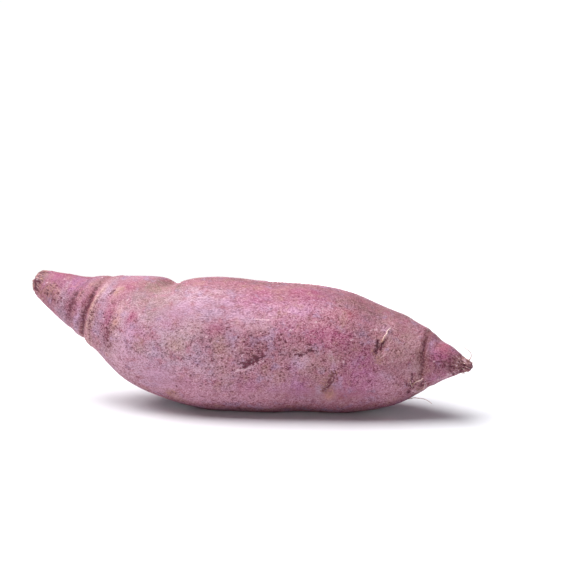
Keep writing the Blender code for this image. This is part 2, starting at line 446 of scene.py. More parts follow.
# %% [markdown]
# Splits, grazes, eyes and scabs are short marks. They could be sculpted with a brush, but a list
# keeps each one where it was read off, and it is easy to change. Each is a path of pixels laid on
# the skin, with a width, a height or depth, and how dark, corky or pale it is. Noise bends and
# breaks its edge, so that no mark is ruled. Those of a scraped or scabbed place are crumbly, and a
# split is clean.

# %% Marks: how one is pressed into the skin
pits = step(0.0, 0.40, bumps((1.3, 1.0, 1.0), 13, 2))
flakes = step(0.22, 0.5, bumps((0.95, 0.9, 0.9), 14, 2))
ragged = bumps((1.6, 1.3, 1.3), 8, 2)
crumbs = bumps((0.95, 0.95, 0.95), 9)
CRUMBLY, CLEAN, WHOLE = 0.55, 0.1, 0


def distance_to(path):
    """The distance in mm from every grid point to a path of points on the skin."""
    nearest = np.full(girth.shape, 1e3)
    for a, b in zip(path[:-1], path[1:]):
        run_ab = b - a
        share = np.clip(((base - a) @ run_ab) / max(run_ab @ run_ab, 1e-12), 0, 1)
        gap = np.linalg.norm(base - a - share[..., None] * run_ab, axis=2) / MM
        nearest = np.minimum(nearest, gap)
    return nearest


def press(path, half_width, rise, dark=0, cork=0, pale=0, broken=CRUMBLY):
    """Raises or sinks the skin along a path, with a crumbly edge and floor, and notes its colours, painted
    shade and painted highlights among them.
    """
    global height
    away = distance_to(path) / half_width * (1 + 0.9 * ragged) + 0.5 * crumbs
    core = np.exp(-(away**2)) * (1 - broken * (1 - pits))
    height += rise * core * (1 + 0.9 * crumbs)
    if rise < 0:
        height += 0.08 * -rise * np.exp(-((away - 1.9) ** 2) * 2)
    stain_and_painted_light("crease", dark * np.exp(-((away / 1.05) ** 2)) * (1 - broken * (1 - pits)))
    stain_and_painted_light("cork", cork * np.exp(-((away / 1.3) ** 2)) * (1 - broken * pits))
    stain_and_painted_light("pale", pale * np.exp(-((away / 1.3) ** 2)) * (1 - broken * pits))


def press_all(groups, broken):
    """Presses each mark of each named group along its pixels."""
    for name, marks in groups.items():
        for pixels, *settings in marks:
            press(np.array([on_root(*p) for p in pixels]), *settings, broken=broken)
        print(f"{name}: {len(marks)} marks")


# %% Marks with a crumbly edge: graze, scabs, crack and eye
press_all({
    # pixels, half width and height in mm, and the dark (partly painted shade), corky and pale (partly painted
    # highlight) shares
    "graze on the flank": (
        (((241, 368.4), (244.5, 367.8)), 0.5, -0.22, 0.7),
        (((244.2, 367), (248, 364.8), (252, 362.8)), 0.95, -0.42, 1.5),
        (((246, 362.4), (250, 359.4), (254, 357.4)), 0.9, -0.25, 1.0),
        (((256.4, 360), (258.6, 358.6), (261.4, 357)), 0.85, -0.42, 1.9),
        (((253.4, 355), (257, 356)), 0.45, -0.25, 0.85),
        (((236, 371.4), (240, 369.8), (246, 369.4), (250, 367.8), (252.6, 365.6), (258, 362.9),
          (263, 361.2)), 0.36, 0.28, 0, 0, 1.5),
        (((264, 361), (268, 363.5), (272, 364.6)), 0.28, 0.14, 0, 0, 0.4),
        # pale spots on small raised grains where the graze glints: painted highlights
        (((249, 360.8), (249.8, 360.4)), 0.35, 0.12, 0, 0, 0.9),
        (((253.6, 361.4), (254.4, 361)), 0.3, 0.10, 0, 0, 0.6),
        (((247, 362.6), (247.8, 362.2)), 0.3, 0.12, 0, 0, 1.2),
        (((251.4, 359.4), (252.2, 359)), 0.3, 0.12, 0, 0, 1.2),
    ),
    "scabs": (
        (((298.6, 355), (301.6, 354.8), (306, 353.6)), 0.62, -0.38, 1.9, 0.1),
        (((307.4, 352.2), (310.4, 350.2), (312.8, 350.8)), 0.55, -0.38, 1.9, 0.1),
        (((299.6, 357.4), (305.5, 356.6)), 0.3, 0.14, 0, 0, 0.8),
        (((298.5, 352.8), (301.5, 352.2)), 0.35, 0.14, 0, 0, 0.6),
        (((169, 393), (174, 395)), 0.9, 0.08, 0, 0.8, 0.1),
    ),
    "edges of the crack": (
        (((337, 373), (333.5, 380), (330, 386)), 0.5, 0.16, 0, 0.5, 0.1),
        (((326, 392), (329, 394.5)), 0.9, 0.10, 0, 0.9, 0.1),
    ),
    "eye": (
        (((380.2, 346.5), (382.3, 340.7)), 0.42, 0.45, 0, 0.6, 0.3),
        (((375, 353), (378, 360)), 1.6, 0.0, 0.15, 0.45),
        (((369.3, 333.8), (371.8, 334.6)), 0.4, -0.28, 0.85, 0.1),
        (((370.5, 331.2), (372.4, 330.4), (374.4, 330)), 0.4, 0.16, 0, 0.1, 0.7),
    ),
}, CRUMBLY)

# %% Marks with a crumbly edge: flecks, scratches and both ends
press_all({
    # pixels, half width and height in mm, and the dark (partly painted shade), corky and pale (partly painted
    # highlight) shares
    "flecks and scratches": (
        (((320.3, 312.5), (323, 308.5)), 0.5, 0.10, 0, 0, 0.45),
        (((340, 332), (342.3, 325)), 0.6, 0.10, 0, 0.45, 0.25),
        (((254.5, 318.6), (262, 319.3), (270, 319.4)), 0.28, 0.08, 0, 0, 1.0),
        (((255, 317.2), (263, 317), (268, 317.4)), 0.22, -0.08, 0.3),
        (((206, 300), (216, 299), (226, 299.4)), 0.22, 0.06, 0, 0, 0.6),
        (((215, 317.8), (225, 317.4)), 0.22, 0.06, 0, 0, 0.4),
        (((219, 291), (230, 290.5)), 0.2, 0.06, 0, 0, 0.5),
    ),
    "stem end and neck": (
        (((40.8, 273.4), (43.5, 271.6), (47, 271)), 0.7, -0.15, 1.6),
        (((66.8, 281), (66.6, 292)), 0.7, 0.04, 0, 0, 0.35),
        (((104.8, 318), (109, 330), (106.5, 339)), 0.5, -0.12, 0.3),
        (((116, 293), (120, 290.5), (122, 288.8)), 0.75, 0.12, 0, 0.8, 0.1),
    ),
    "tail": (
        (((409.4, 389.5), (411, 392)), 0.45, -0.3, 0.7, 0.1),
        (((414.5, 384), (415.2, 391)), 0.55, 0.25, 0, 0.2, 0.3),
        (((427, 386), (425.2, 391)), 0.9, 0.25, 0, 0.2, 0.5),
        (((430, 384), (434.6, 381.4), (442.6, 378.6), (448.4, 375.2), (453.4, 372.4)), 0.55, 0.34, 0,
         0.1, 1.0),
        (((432.2, 359.6), (433, 360.8)), 0.35, -0.2, 0.8),
        # a pale spot where the tail glints: painted highlight
        (((434, 361.4), (434.4, 361.8)), 0.3, 0.15, 0, 0, 1.0),
        (((443.2, 361), (446.6, 360.8), (448, 364), (446.4, 368)), 0.3, 0.20, 0, 0, 0.6),
        (((448.6, 352), (451, 358), (450.4, 364)), 0.4, 0.14, 0, 0, 0.3),
    ),
}, CRUMBLY)

# %% Marks with a clean edge
press_all({
    # pixels, half width and height in mm, and the dark (partly painted shade), corky and pale shares, as
    # above
    "crack": (
        (((334.6, 372), (331, 378.5), (327.5, 384), (323, 390.5)), 0.60, -0.50, 0.55, 0.7),
        (((335.8, 374), (332.8, 381), (328.8, 386.4), (324.6, 390.6)), 0.26, -0.35, 1.2),
    ),
    "slots of the eye": (
        (((378.4, 341), (377.4, 347.5), (376.4, 352)), 0.50, -0.80, 1.5, 0.1),
        (((383.4, 341.5), (382, 345), (380.6, 350)), 0.50, -0.60, 0.9, 0.3),
    ),
    "stem end": (
        (((36.4, 278), (35.4, 282), (35.6, 286.7), (37, 290)), 0.4, -0.4, 1.3),
        (((38.4, 281), (37.6, 284), (38.4, 287.4)), 0.3, 0.2, 0, 0, 0.5),
        (((37, 278), (40, 274)), 2.0, 0.6),
        (((45.5, 271), (51, 271.5)), 1.8, -0.75),
    ),
    "neck": (
        (((79.4, 297.8), (83.3, 291.3)), 0.4, -0.30, 0.9),
        (((108.7, 295.2), (112, 292.2), (115.2, 290)), 0.42, -0.40, 0.95),
        (((97, 287), (93.6, 293.5), (90.6, 301), (88, 307)), 0.5, -0.25, 0.8),
        (((85.4, 312), (83.2, 321), (82.6, 328), (83.6, 336)), 0.7, -0.25, 0.7, 0.1),
        (((92, 305), (90.6, 312), (89.8, 320), (89.4, 330), (90, 338), (91.6, 345)), 0.3, -0.18, 0.6),
    ),
    "tail": (
        (((411.9, 373.6), (412.3, 375.8)), 0.5, -0.4, 1.2),
        (((412.3, 377.6), (412.4, 380.4)), 0.5, -0.5, 1.0, 0.1),
        (((410.8, 383.5), (410.6, 387)), 0.6, -0.45, 0.9, 0.1),
        (((408.2, 390.6), (409.4, 392.6)), 0.5, -0.4, 1.2),
        (((420.2, 386.3), (423.2, 382.3)), 0.8, -0.6, 0.8, 0.4),
        (((424.6, 381.5), (425.6, 386), (422.4, 390), (417.4, 391.4), (412.6, 390.6)), 0.45, 0.35, 0, 0, 1.3),
        (((427.4, 338), (424.6, 347), (423.4, 356), (422.8, 364), (421.8, 374)), 0.55, -0.30, 0.6),
        (((444.2, 363.2), (445.2, 365.8)), 0.35, -0.35, 1.0),
    ),
}, CLEAN)

# %% Dots: small dark holes, partly painted shade, and single raised grains painted pale where they glint: painted highlights
# small pits, darkened partly as painted shade
DARK_DOTS = (
    (91.2, 312), (93.2, 312.4), (168.3, 397.2), (176.3, 386.3), (163.7, 339.8), (226.5, 346), (237.8, 338),
    (250.5, 335.5), (257, 344), (261.5, 344.5), (244, 342), (247, 342.8), (261, 351), (269, 333.5),
    (280, 335), (285, 341.6), (419, 332.5), (439.6, 351.6), (315, 338), (309, 345), (271, 327), (232, 352),
    (212, 361), (190, 356),
)
# pale spots on small raised grains where they glint: painted highlights
PAINTED_GLINTS = (
    (103, 319), (115.4, 335.6), (119, 335.2), (300.5, 352.4), (309, 348.6), (160, 327), (172, 318),
    (181, 331), (140, 315), (206, 337), (235, 350), (243, 356.4), (290, 331), (352, 340), (331, 352),
    (343, 362), (376.4, 330), (392, 362), (64, 279), (102, 278), (127, 300), (150, 352), (226, 361),
    (270, 341), (316, 322), (47, 283), (95, 333),
)
for dots, (across, up), settings in ((DARK_DOTS, (0.8, 0), (0.33, -0.22, 0.8)),
                                     (PAINTED_GLINTS, (0.6, -0.2), (0.26, 0.10, 0, 0, 1.2))):
    for x, y in dots:
        press(np.array([on_root(x, y), on_root(x + across, y + up)]), *settings, broken=WHOLE)
print("dark dots:", len(DARK_DOTS), "and glints:", len(PAINTED_GLINTS))

# %% Rough patches: pits, darker partly as painted shade, and flakes painted pale as painted highlights, scattered over an oval
ROUGH_PATCHES = (
    # pixel at the middle, half length and half height in pixels, pit depth in mm, dark, cork and pale shares
    ((250, 362), 11, 6, 0.22, 0.70, 0, 0.5), ((258, 346), 24, 13, 0.09, 0.34, 0, 0.25),
    ((50.5, 290.5), 8.5, 8, 0.28, 0.75, 0.55, 0.25), ((58, 299), 8, 7, 0.12, 0.50, 0.0, 0.25),
    ((38.5, 283), 4, 9, 0.22, 0.8, 0.6, 0.2), ((43.5, 272.5), 4.5, 2.5, 0.10, 0.7, 0.3, 0),
    ((411.5, 385), 6.5, 10, 0.25, 0.75, 0.4, 0.5), ((421, 385), 6, 6, 0.20, 0.7, 0.4, 0.4),
    ((300, 353), 12, 7, 0.10, 0.45, 0.1, 0.2), ((380, 346), 5, 8, 0.12, 0.2, 0.5, 0.2),
    ((327, 386), 7, 9, 0.12, 0.4, 0.5, 0.2), ((438, 362), 16, 10, 0.10, 0.45, 0.05, 0.35),
    ((110, 322), 9, 16, 0.10, 0.45, 0.1, 0.25), ((74, 306), 8, 9, 0.10, 0.5, 0.15, 0.2),
    ((172, 393), 6, 6, 0.12, 0.5, 0.6, 0.2), ((240, 408), 14, 2.5, 0.12, 0.6, 0.1, 0.3),
)
for pixel, half_x, half_y, depth, dark, cork, pale in ROUGH_PATCHES:
    cover = np.exp(-0.9 * oval(on_root(*pixel), half_x * PIXEL_MM, half_y * PIXEL_MM) * (1 + 0.8 * ragged))
    height += cover * (0.5 * depth * flakes - depth * pits)
    # the pits darker, partly as painted shade, and the raised flakes pale as painted highlights
    stain_and_painted_light("crease", dark * step(0.25, 0.9, cover * (0.3 + pits)))
    stain_and_painted_light("pale", pale * step(0.3, 0.9, cover * flakes))
    stain_and_painted_light("cork", cork * cover)
print("rough patches:", len(ROUGH_PATCHES))

# %% [markdown]
# The photograph shows one side. The back, the top and the belly get marks of the same kinds by a
# rule: eyes lie in loose rows along the root, each a short slanted slit in a dimple, and scabs and
# fine scratches lie between them, all drawn with one fixed seed.

# %% Relief: marks on the hidden sides
hidden = np.random.default_rng(7)
# the angle of each row in degrees and how many eyes it has
HIDDEN_ROWS = ((112, 4), (160, 5), (212, 5), (255, 4))
HIDDEN_SCARS = 16
USUAL_RADIUS_MM = 24.0
EYE_LIP_SHIFT = np.array([0.9, 0, 0.3]) * MM


def skin_at(length_share, degrees):
    """The grid point nearest a share of the length and an angle."""
    i = int(np.abs(along[:, 0] - length_share * LENGTH_MM).argmin())
    j = int(np.abs(turn_between(angles, math.radians(degrees))).argmin())
    return base[i, j]


def short_path(length_share, degrees, reach_mm, slant):
    """A short path on the skin that starts at a place and runs at a slant to the length, in degrees."""
    share = reach_mm * math.cos(math.radians(slant)) / LENGTH_MM
    swing = math.degrees(reach_mm * math.sin(math.radians(slant)) / USUAL_RADIUS_MM)
    return np.array([skin_at(length_share + share * t, degrees + swing * t) for t in (-0.5, 0, 0.5)])


eyes = []
for degrees, count in HIDDEN_ROWS:
    for share in np.linspace(0.2, 0.86, count) + hidden.uniform(-0.05, 0.05, count):
        turned = degrees + hidden.uniform(-12, 12)
        slit = short_path(share, turned, hidden.uniform(2.0, 4.5), hidden.uniform(50, 80))
        # a dark slit, partly painted shade, with a corky lip beside it
        press(slit, hidden.uniform(0.45, 0.7), -hidden.uniform(0.35, 0.6), 0.9, 0.3)
        press(slit + EYE_LIP_SHIFT, 0.6, 0.15, 0, 0.5, 0.2)
        eyes.append(slit)
for _ in range(HIDDEN_SCARS):
    spot = (hidden.uniform(0.12, 0.9), hidden.uniform(105, 265))
    scar = short_path(*spot, hidden.uniform(0.5, 3), hidden.uniform(-20, 60))
    press(scar, hidden.uniform(0.3, 0.8), hidden.uniform(-0.2, 0.15), hidden.uniform(0, 0.7),
          hidden.uniform(0.2, 0.8), hidden.uniform(0, 0.5))
print("hidden eyes:", len(eyes), "and scars:", HIDDEN_SCARS)

# %% [markdown]
# Both ends are wounds. The stem end is a shallow dry dish with a crumpled rim, a little cut away at
# its corner and its heel, and the tail, with a low saddle before it, ends in split woody fibres:
# lengthwise grooves with ragged ridges between them. Stretched noise draws such fibres well.

# %% Relief: stem scar and woody tip
corner = np.exp(-(((along - 1.5) / 2.0) ** 2)) * step(0.0, 0.9, np.sin(turn))
heel = np.exp(-(((along - 4.5) / 3.0) ** 2)) * step(-0.3, -0.9, np.sin(turn))
saddle = np.exp(-(((along - LENGTH_MM + 25) / 16) ** 2)) * step(0.2, 0.9, np.sin(turn))
height += 0.5 * saddle - 0.35 * corner - 0.5 * heel
dish = step(2.4, 0.6, along)
height += dish * (0.35 + 0.25 * bumps((3, 1.7, 1.7), 10, 2))
stain_and_painted_light("cork", step(3.6, 1.6, along + 1.2 * bumps(3, 11)) * 0.5)
fibres = bumps((4, 0.7, 0.7), 12, 2)
holes = step(0.15, 0.45, bumps((1.6, 1.1, 1.1), 15, 2))
height += tip * (0.40 * fibres - 0.45 * holes)
# darker in the grooves and holes of the fibres, partly as painted shade
stain_and_painted_light("crease", tip * np.maximum(step(0.0, -0.4, fibres), 1.2 * holes))
stain_and_painted_light("cork", tip * 0.4)
stain_and_painted_light("pale", tip * step(0.2, 0.45, fibres) * (1 - holes) * 0.9)
print("ends done; tip covers", int((tip > 0.5).sum()), "points")

# %% [markdown]
# The skin's colour is patchy: a dusty rose ground with magenta and red blushes where it is fresh,
# lilac where a waxy bloom lies, and tan where the cork has thickened. A painted texture would need
# an image and a map without a seam. Here each patch is an ellipse on the skin with a ragged edge,
# kept as a colour at each corner of the fine mesh. The ones on the visible side are placed one by one
# on the photograph, and the hidden sides get theirs from the fixed seed.
# Some patches are painted light: a light lilac sheen as painted highlights, a paler lower side, and painted
# shadow along the top edge and over the upper right.

# %% Colours of the patches
def linear(hex_colour):
    """An sRGB hex colour as linear red, green, blue."""
    parts = [int(hex_colour[i:i + 2], 16) / 255 for i in (1, 3, 5)]
    return [p / 12.92 if p <= 0.04045 else ((p + 0.055) / 1.055) ** 2.4 for p in parts]


PATCH_COLOURS = {name: np.array(linear(tone)) for name, tone in (
    ("magenta", "#8e2f5c"), ("red", "#a82e48"), ("rose", "#a25280"), ("orchid", "#934f88"),
    ("lilac", "#8e7088"), ("mist", "#ad94a2"), ("tan", "#9b7672"), ("beige", "#b59187"),
    ("olive", "#8a6a60"), ("amber", "#b88474"), ("umber", "#6f5049"), ("moss", "#5c5547"),
    ("wine", "#702a42"), ("rust", "#7a3a38"), ("dusty", "#ae7e90"), ("pink", "#b0668c"),
    # painted_sheen: the light lilac of a sheen, painted on as painted highlights
    ("painted_sheen", "#bb96b6"),
)}
print("patch colours:", ", ".join(PATCH_COLOURS))

# %% How a patch is laid
tint_colour = np.zeros(girth.shape + (3,))
tint_amount = np.zeros(girth.shape)
mottle = bumps((3.2, 2.4, 2.4), 11, 3)
edge_noise = bumps((7, 6, 6), 12, 3)


def lay(tone, cover):
    """Lays a colour over what is there, as much as cover says."""
    cover = np.clip(cover, 0, 1)[..., None]
    tint_colour[:] = tint_colour * (1 - cover) + PATCH_COLOURS[tone] * cover
    tint_amount[:] = np.clip(tint_amount * (1 - cover[..., 0]) + cover[..., 0], 0, 1)


def paint(tone, centre, half_length, half_height, strength):
    """Lays a patch with a ragged edge round a point of the skin. Sizes in mm."""
    away = oval(centre, half_length, half_height)
    lay(tone, strength * np.exp(-0.8 * away * (1 + 0.9 * edge_noise)) * np.clip(1 + 1.3 * mottle, 0, 1.6))


def paint_all(title, patches):
    """Lays patches that are given by colour, pixel, half length and half height in pixels, and strength.
    One on skin that turns away from the camera is seen foreshortened, so it is laid larger."""
    for tone, pixel, half_x, half_y, strength in patches:
        spot = on_root(*pixel)
        facing = max(0.4, Vector(base_normals[nearest_on_grid(spot)]).dot(TOWARDS_CAMERA))
        paint(tone, spot, half_x * PIXEL_MM, half_y * PIXEL_MM / facing, strength)
    print(f"{title}: {len(patches)} patches")


# %% Patches: broad tones first, with a duller left, a right painted warmer and darker, partly as painted shadow, and a lower side painted paler as painted light
paint_all("broad tones", (
    ("mist", (160, 350), 55, 36, 0.65), ("mist", (140, 305), 40, 12, 0.25),
    ("mist", (205, 302), 45, 16, 0.50), ("tan", (385, 335), 30, 22, 0.35),
    ("wine", (245, 350), 40, 16, 0.22), ("olive", (312, 368), 20, 24, 0.35),
    ("lilac", (228, 385), 60, 10, 0.35), ("mist", (140, 372), 30, 10, 0.40),
))

# %% Patches: stem end and neck
paint_all("stem end and neck", (
    ("rose", (56, 277), 10, 5, 0.8), ("orchid", (76, 284), 13, 8, 0.9), ("umber", (50, 291), 7, 7, 0.35),
    ("umber", (41, 280), 4, 8, 0.6), ("moss", (43.5, 272.2), 4.5, 2.0, 1.0),
    ("lilac", (48, 275), 5, 3, 0.3), ("umber", (36, 284), 3, 8, 0.7), ("lilac", (62, 306), 9, 10, 0.8),
    ("wine", (72, 302), 6, 7, 0.7), ("tan", (81, 298), 4, 3, 0.8), ("magenta", (86, 298), 5, 6, 0.7),
    ("rose", (78, 308), 4, 6, 0.5), ("wine", (85, 314), 4, 16, 0.6), ("lilac", (77, 322), 4, 14, 0.85),
    ("lilac", (98, 320), 3, 16, 0.6), ("wine", (107, 318), 4, 10, 0.75), ("beige", (115, 320), 4, 7, 0.75),
    ("beige", (119, 291), 5, 4, 0.75), ("tan", (100, 283), 8, 5, 0.4),
))

# %% Patches: body
paint_all("left of the middle", (
    ("magenta", (130, 288), 12, 6, 0.5), ("red", (132, 318), 4, 4, 0.75), ("red", (147, 299), 4, 6, 0.45),
    ("mist", (115, 350), 7, 14, 0.5), ("olive", (151, 316), 6, 8, 0.4), ("olive", (158, 287), 19, 6, 0.9),
    ("umber", (172, 285), 7, 4, 0.5), ("olive", (137, 347), 8, 6, 0.6), ("olive", (176, 345), 8, 8, 0.7),
    ("lilac", (158, 368), 12, 16, 0.6), ("rose", (135, 333), 14, 7, 0.45),
    ("rose", (170, 320), 10, 8, 0.45), ("beige", (173, 393), 5, 5, 0.7), ("rose", (188, 383), 10, 9, 0.45),
    ("tan", (196, 328), 10, 8, 0.4), ("magenta", (216, 328), 8, 6, 0.7), ("beige", (220, 348), 4, 8, 0.7),
    ("lilac", (231, 335), 7, 9, 0.6), ("rose", (190, 308), 16, 6, 0.4), ("lilac", (195, 360), 10, 9, 0.45),
))
paint_all("middle", (
    ("magenta", (262, 294), 7, 5, 0.65), ("rose", (250, 303), 22, 8, 0.45),
    ("rose", (282, 328), 12, 9, 0.45), ("tan", (262, 326), 12, 5, 0.45), ("wine", (258, 352), 16, 11, 0.45),
    ("tan", (278, 380), 13, 12, 0.45), ("rose", (250, 388), 13, 8, 0.4), ("orchid", (297, 388), 11, 9, 0.5),
    ("orchid", (292, 366), 5, 5, 0.5), ("tan", (224, 372), 12, 7, 0.3),
))
paint_all("right of the middle", (
    ("magenta", (307, 297), 12, 6, 0.85), ("rose", (300, 312), 16, 8, 0.5),
    ("orchid", (326, 298), 10, 6, 0.6), ("magenta", (322, 336), 15, 7, 0.95),
    ("magenta", (343, 336), 9, 8, 0.7), ("red", (350, 313), 7, 5, 0.5), ("olive", (333, 358), 8, 7, 0.5),
    ("umber", (327, 386), 5, 10, 0.5), ("wine", (352, 350), 6, 7, 0.45),
    ("magenta", (362, 366), 11, 10, 0.7), ("lilac", (383, 376), 9, 6, 0.6),
    ("magenta", (392, 356), 6, 8, 0.6), ("tan", (342, 328), 4, 5, 0.5), ("tan", (408, 345), 10, 20, 0.6),
    ("rose", (368, 318), 12, 7, 0.4), ("lilac", (360, 332), 6, 5, 0.4),
))

# %% Patches: tail
paint_all("tail", (
    ("magenta", (441, 357), 12, 7, 0.7), ("rose", (438, 377), 14, 4, 0.6), ("wine", (446, 369), 8, 4, 0.55),
    ("tan", (417, 378), 4, 10, 0.6), ("umber", (458, 361), 6, 6, 0.6), ("wine", (422, 330), 9, 5, 0.6),
    ("wine", (439, 344), 9, 4, 0.5),
))

# %% Patches: paler and darker places over the others, partly painted light and painted shadow, and the rings' colours, partly painted shade
# and the umber and wine strips along the top edge and over the upper right are painted shadow
# the dusty and mist patches along the lower side are painted light,
paint_all("over the others", (
    ("mist", (113, 338), 9, 16, 0.55), ("mist", (178, 340), 16, 8, 0.5), ("dusty", (120, 360), 14, 16, 0.5),
    ("dusty", (165, 382), 22, 10, 0.6), ("dusty", (200, 392), 20, 7, 0.7),
    ("dusty", (285, 392), 34, 9, 0.65), ("dusty", (388, 386), 26, 12, 0.75),
    ("mist", (321, 392), 8, 5, 0.6), ("pink", (360, 380), 16, 16, 0.6), ("dusty", (335, 400), 60, 5, 0.6),
    ("dusty", (235, 402), 50, 5, 0.5), ("mist", (301, 361), 7, 5, 0.7), ("wine", (380, 345), 4, 8, 0.7),
    ("wine", (380, 360), 8, 6, 0.4), ("wine", (342, 347), 10, 7, 0.4), ("rust", (220, 347), 5, 9, 0.45),
    ("wine", (203, 343), 8, 7, 0.35), ("wine", (72, 306), 3, 10, 0.5), ("wine", (461, 363), 10, 9, 0.35),
    ("beige", (91, 320), 3, 12, 0.7), ("wine", (84, 320), 4, 14, 0.5), ("magenta", (107, 317), 5, 8, 0.9),
    ("wine", (106, 336), 5, 9, 0.7), ("rust", (112, 338), 4, 8, 0.5), ("magenta", (66, 305), 3, 5, 0.6),
    ("umber", (150, 300), 22, 8, 0.3), ("magenta", (108, 300), 5, 5, 0.4), ("wine", (86, 302), 4, 6, 0.6),
    ("rust", (84, 326), 3, 10, 0.7), ("tan", (392, 350), 10, 14, 0.3), ("tan", (415, 352), 7, 16, 0.5),
    ("rose", (440, 352), 12, 9, 0.4), ("magenta", (312, 296), 14, 6, 0.7),
    ("magenta", (216, 331), 5, 4, 0.7), ("magenta", (262, 295), 6, 5, 0.4),
    ("magenta", (368, 352), 9, 8, 0.35), ("orchid", (362, 380), 14, 18, 0.35),
    ("olive", (176, 345), 8, 8, 0.5), ("olive", (418, 362), 6, 14, 0.4), ("umber", (270, 283), 110, 4, 0.4),
    ("umber", (355, 303), 40, 6, 0.35), ("umber", (340, 400), 60, 4, 0.2), ("red", (443, 347), 8, 4, 0.3),
    ("rust", (426, 362), 2.5, 12, 0.6), ("olive", (381, 346), 6, 8, 0.4), ("dusty", (255, 322), 30, 8, 0.3),
    ("lilac", (205, 312), 26, 7, 0.4), ("mist", (170, 300), 26, 7, 0.3), ("lilac", (65, 316), 6, 6, 0.5),
    ("lilac", (100, 300), 4, 9, 0.5), ("mist", (66, 286), 1.6, 6, 0.6), ("wine", (62, 280), 20, 9, 0.36),
    ("umber", (105, 283), 18, 6, 0.35), ("umber", (150, 302), 26, 9, 0.25),
    ("umber", (355, 308), 30, 7, 0.35), ("umber", (66, 308), 8, 10, 0.25),
    ("umber", (110, 326), 8, 18, 0.25), ("tan", (395, 355), 14, 18, 0.25),
    ("dusty", (412, 356), 7, 16, 0.35), ("dusty", (365, 392), 30, 8, 0.3), ("painted_sheen", (104, 290), 5, 9, 0.6),
    ("mist", (116, 279), 18, 4, 0.25), ("painted_sheen", (140, 277), 14, 3, 0.3), ("tan", (465, 361), 5, 6, 0.6),
    ("amber", (96, 297), 2.5, 8, 0.4), ("painted_sheen", (185, 305), 30, 9, 0.2), ("painted_sheen", (300, 310), 16, 7, 0.35),
    ("painted_sheen", (333, 371), 3, 8, 0.5), ("painted_sheen", (430, 343), 3, 5, 0.7), ("painted_sheen", (386, 330), 6, 4, 0.4),
    ("painted_sheen", (238, 312), 20, 6, 0.35), ("painted_sheen", (300, 362), 6, 5, 0.4), ("painted_sheen", (129, 338), 6, 14, 0.35),
    ("wine", (66, 312), 9, 12, 0.3), ("painted_sheen", (158, 378), 12, 8, 0.3), ("painted_sheen", (77, 318), 3, 8, 0.4),
    ("magenta", (326, 337), 13, 8, 1.5), ("magenta", (314, 294), 5, 4, 0.6),
    ("magenta", (298, 292), 8, 4, 0.5), ("magenta", (108, 317), 4, 7, 0.9), ("wine", (106, 336), 4, 8, 0.8),
    ("amber", (115.5, 320), 3.5, 8, 0.5), ("magenta", (216, 330), 6, 4, 0.6),
    ("tan", (218, 344), 5, 9, 0.6), ("magenta", (131, 318), 4, 5, 0.8), ("orchid", (297, 388), 12, 8, 0.4),
    ("magenta", (358, 384), 16, 14, 0.3), ("amber", (328.5, 394.5), 4.5, 4, 0.75),
    ("tan", (382, 358), 7, 5, 0.5), ("magenta", (124, 288), 7, 5, 0.5), ("magenta", (62, 274), 12, 3, 0.3),
    ("beige", (120, 290), 5, 3, 0.7), ("beige", (176, 344), 6, 6, 0.4), ("wine", (355, 306), 30, 8, 0.3),
    ("umber", (150, 300), 24, 10, 0.2), ("rust", (330, 380), 5, 8, 0.4), ("umber", (380, 314), 16, 5, 0.3),
    ("umber", (160, 285), 14, 4, 0.4), ("mist", (60, 301), 5, 5, 0.6), ("tan", (160, 300), 12, 5, 0.35),
    ("umber", (179, 286), 4, 3, 0.6), ("magenta", (120, 300), 8, 5, 0.35),
))
# the wine and rust bands darken the grooves, partly as the rings' own colour and partly as painted shade
RING_COLOURS = {"neck ring": ("wine", 0.85), "deep ring": ("rust", 0.95), "ring lip": ("beige", 0.95),
                "faint ring": ("lilac", 0.4), "tail ring": ("rust", 0.9)}
for ring, (tone, strength) in RING_COLOURS.items():
    lay(tone, strength * ring_cover[ring] * np.clip(1 + mottle, 0, 1.4))
print("coloured rings:", len(RING_COLOURS))

# %% Patches on the hidden sides
HIDDEN_SHARES = {"magenta": 0.20, "red": 0.05, "rose": 0.18, "orchid": 0.08, "lilac": 0.12, "mist": 0.12,
                 "tan": 0.10, "olive": 0.07, "wine": 0.08}
HIDDEN_PATCHES = 70
for _ in range(HIDDEN_PATCHES):
    place = skin_at(hidden.uniform(0.04, 0.97), hidden.uniform(95, 265))
    tone = hidden.choice(list(HIDDEN_SHARES), p=list(HIDDEN_SHARES.values()))
    paint(tone, place, hidden.uniform(2, 8), hidden.uniform(2, 6.5), hidden.uniform(0.4, 0.9))
print("painted share of the skin:", round(float(tint_amount.mean()), 2))

# %% [markdown]
# Now the heights are applied along the outward directions, and nothing may reach below the table:
# the belly keeps the flat that the root lies on. A displacement in the material would exist in one
# renderer only, so the points themselves are moved. The grid becomes one closed mesh with a cap
# point at each end, and carries its masks as attributes for the material.

# %% Build the skin mesh
END_LIFT = 0.02 * MM


def close_grid(points):
    """Corners and faces of the closed skin: the grid, and one more point at each end."""
    rows, cols = points.shape[:2]
    ends = []
    for row, sign in ((0, -1), (rows - 1, 1)):
        ends.append(points[row].mean(0) + sign * ways[row] * END_LIFT)
    corners = np.concatenate([points.reshape(-1, 3), ends])
    faces = []
    for i in range(rows - 1):
        for j in range(cols):
            k = (j + 1) % cols
            faces.append((i * cols + j, (i + 1) * cols + j, (i + 1) * cols + k, i * cols + k))
    first, last = rows * cols, rows * cols + 1
    bottom = (rows - 1) * cols
    for j in range(cols):
        k = (j + 1) % cols
        faces.append((first, j, k))
        faces.append((last, bottom + k, bottom + j))
    return corners, faces


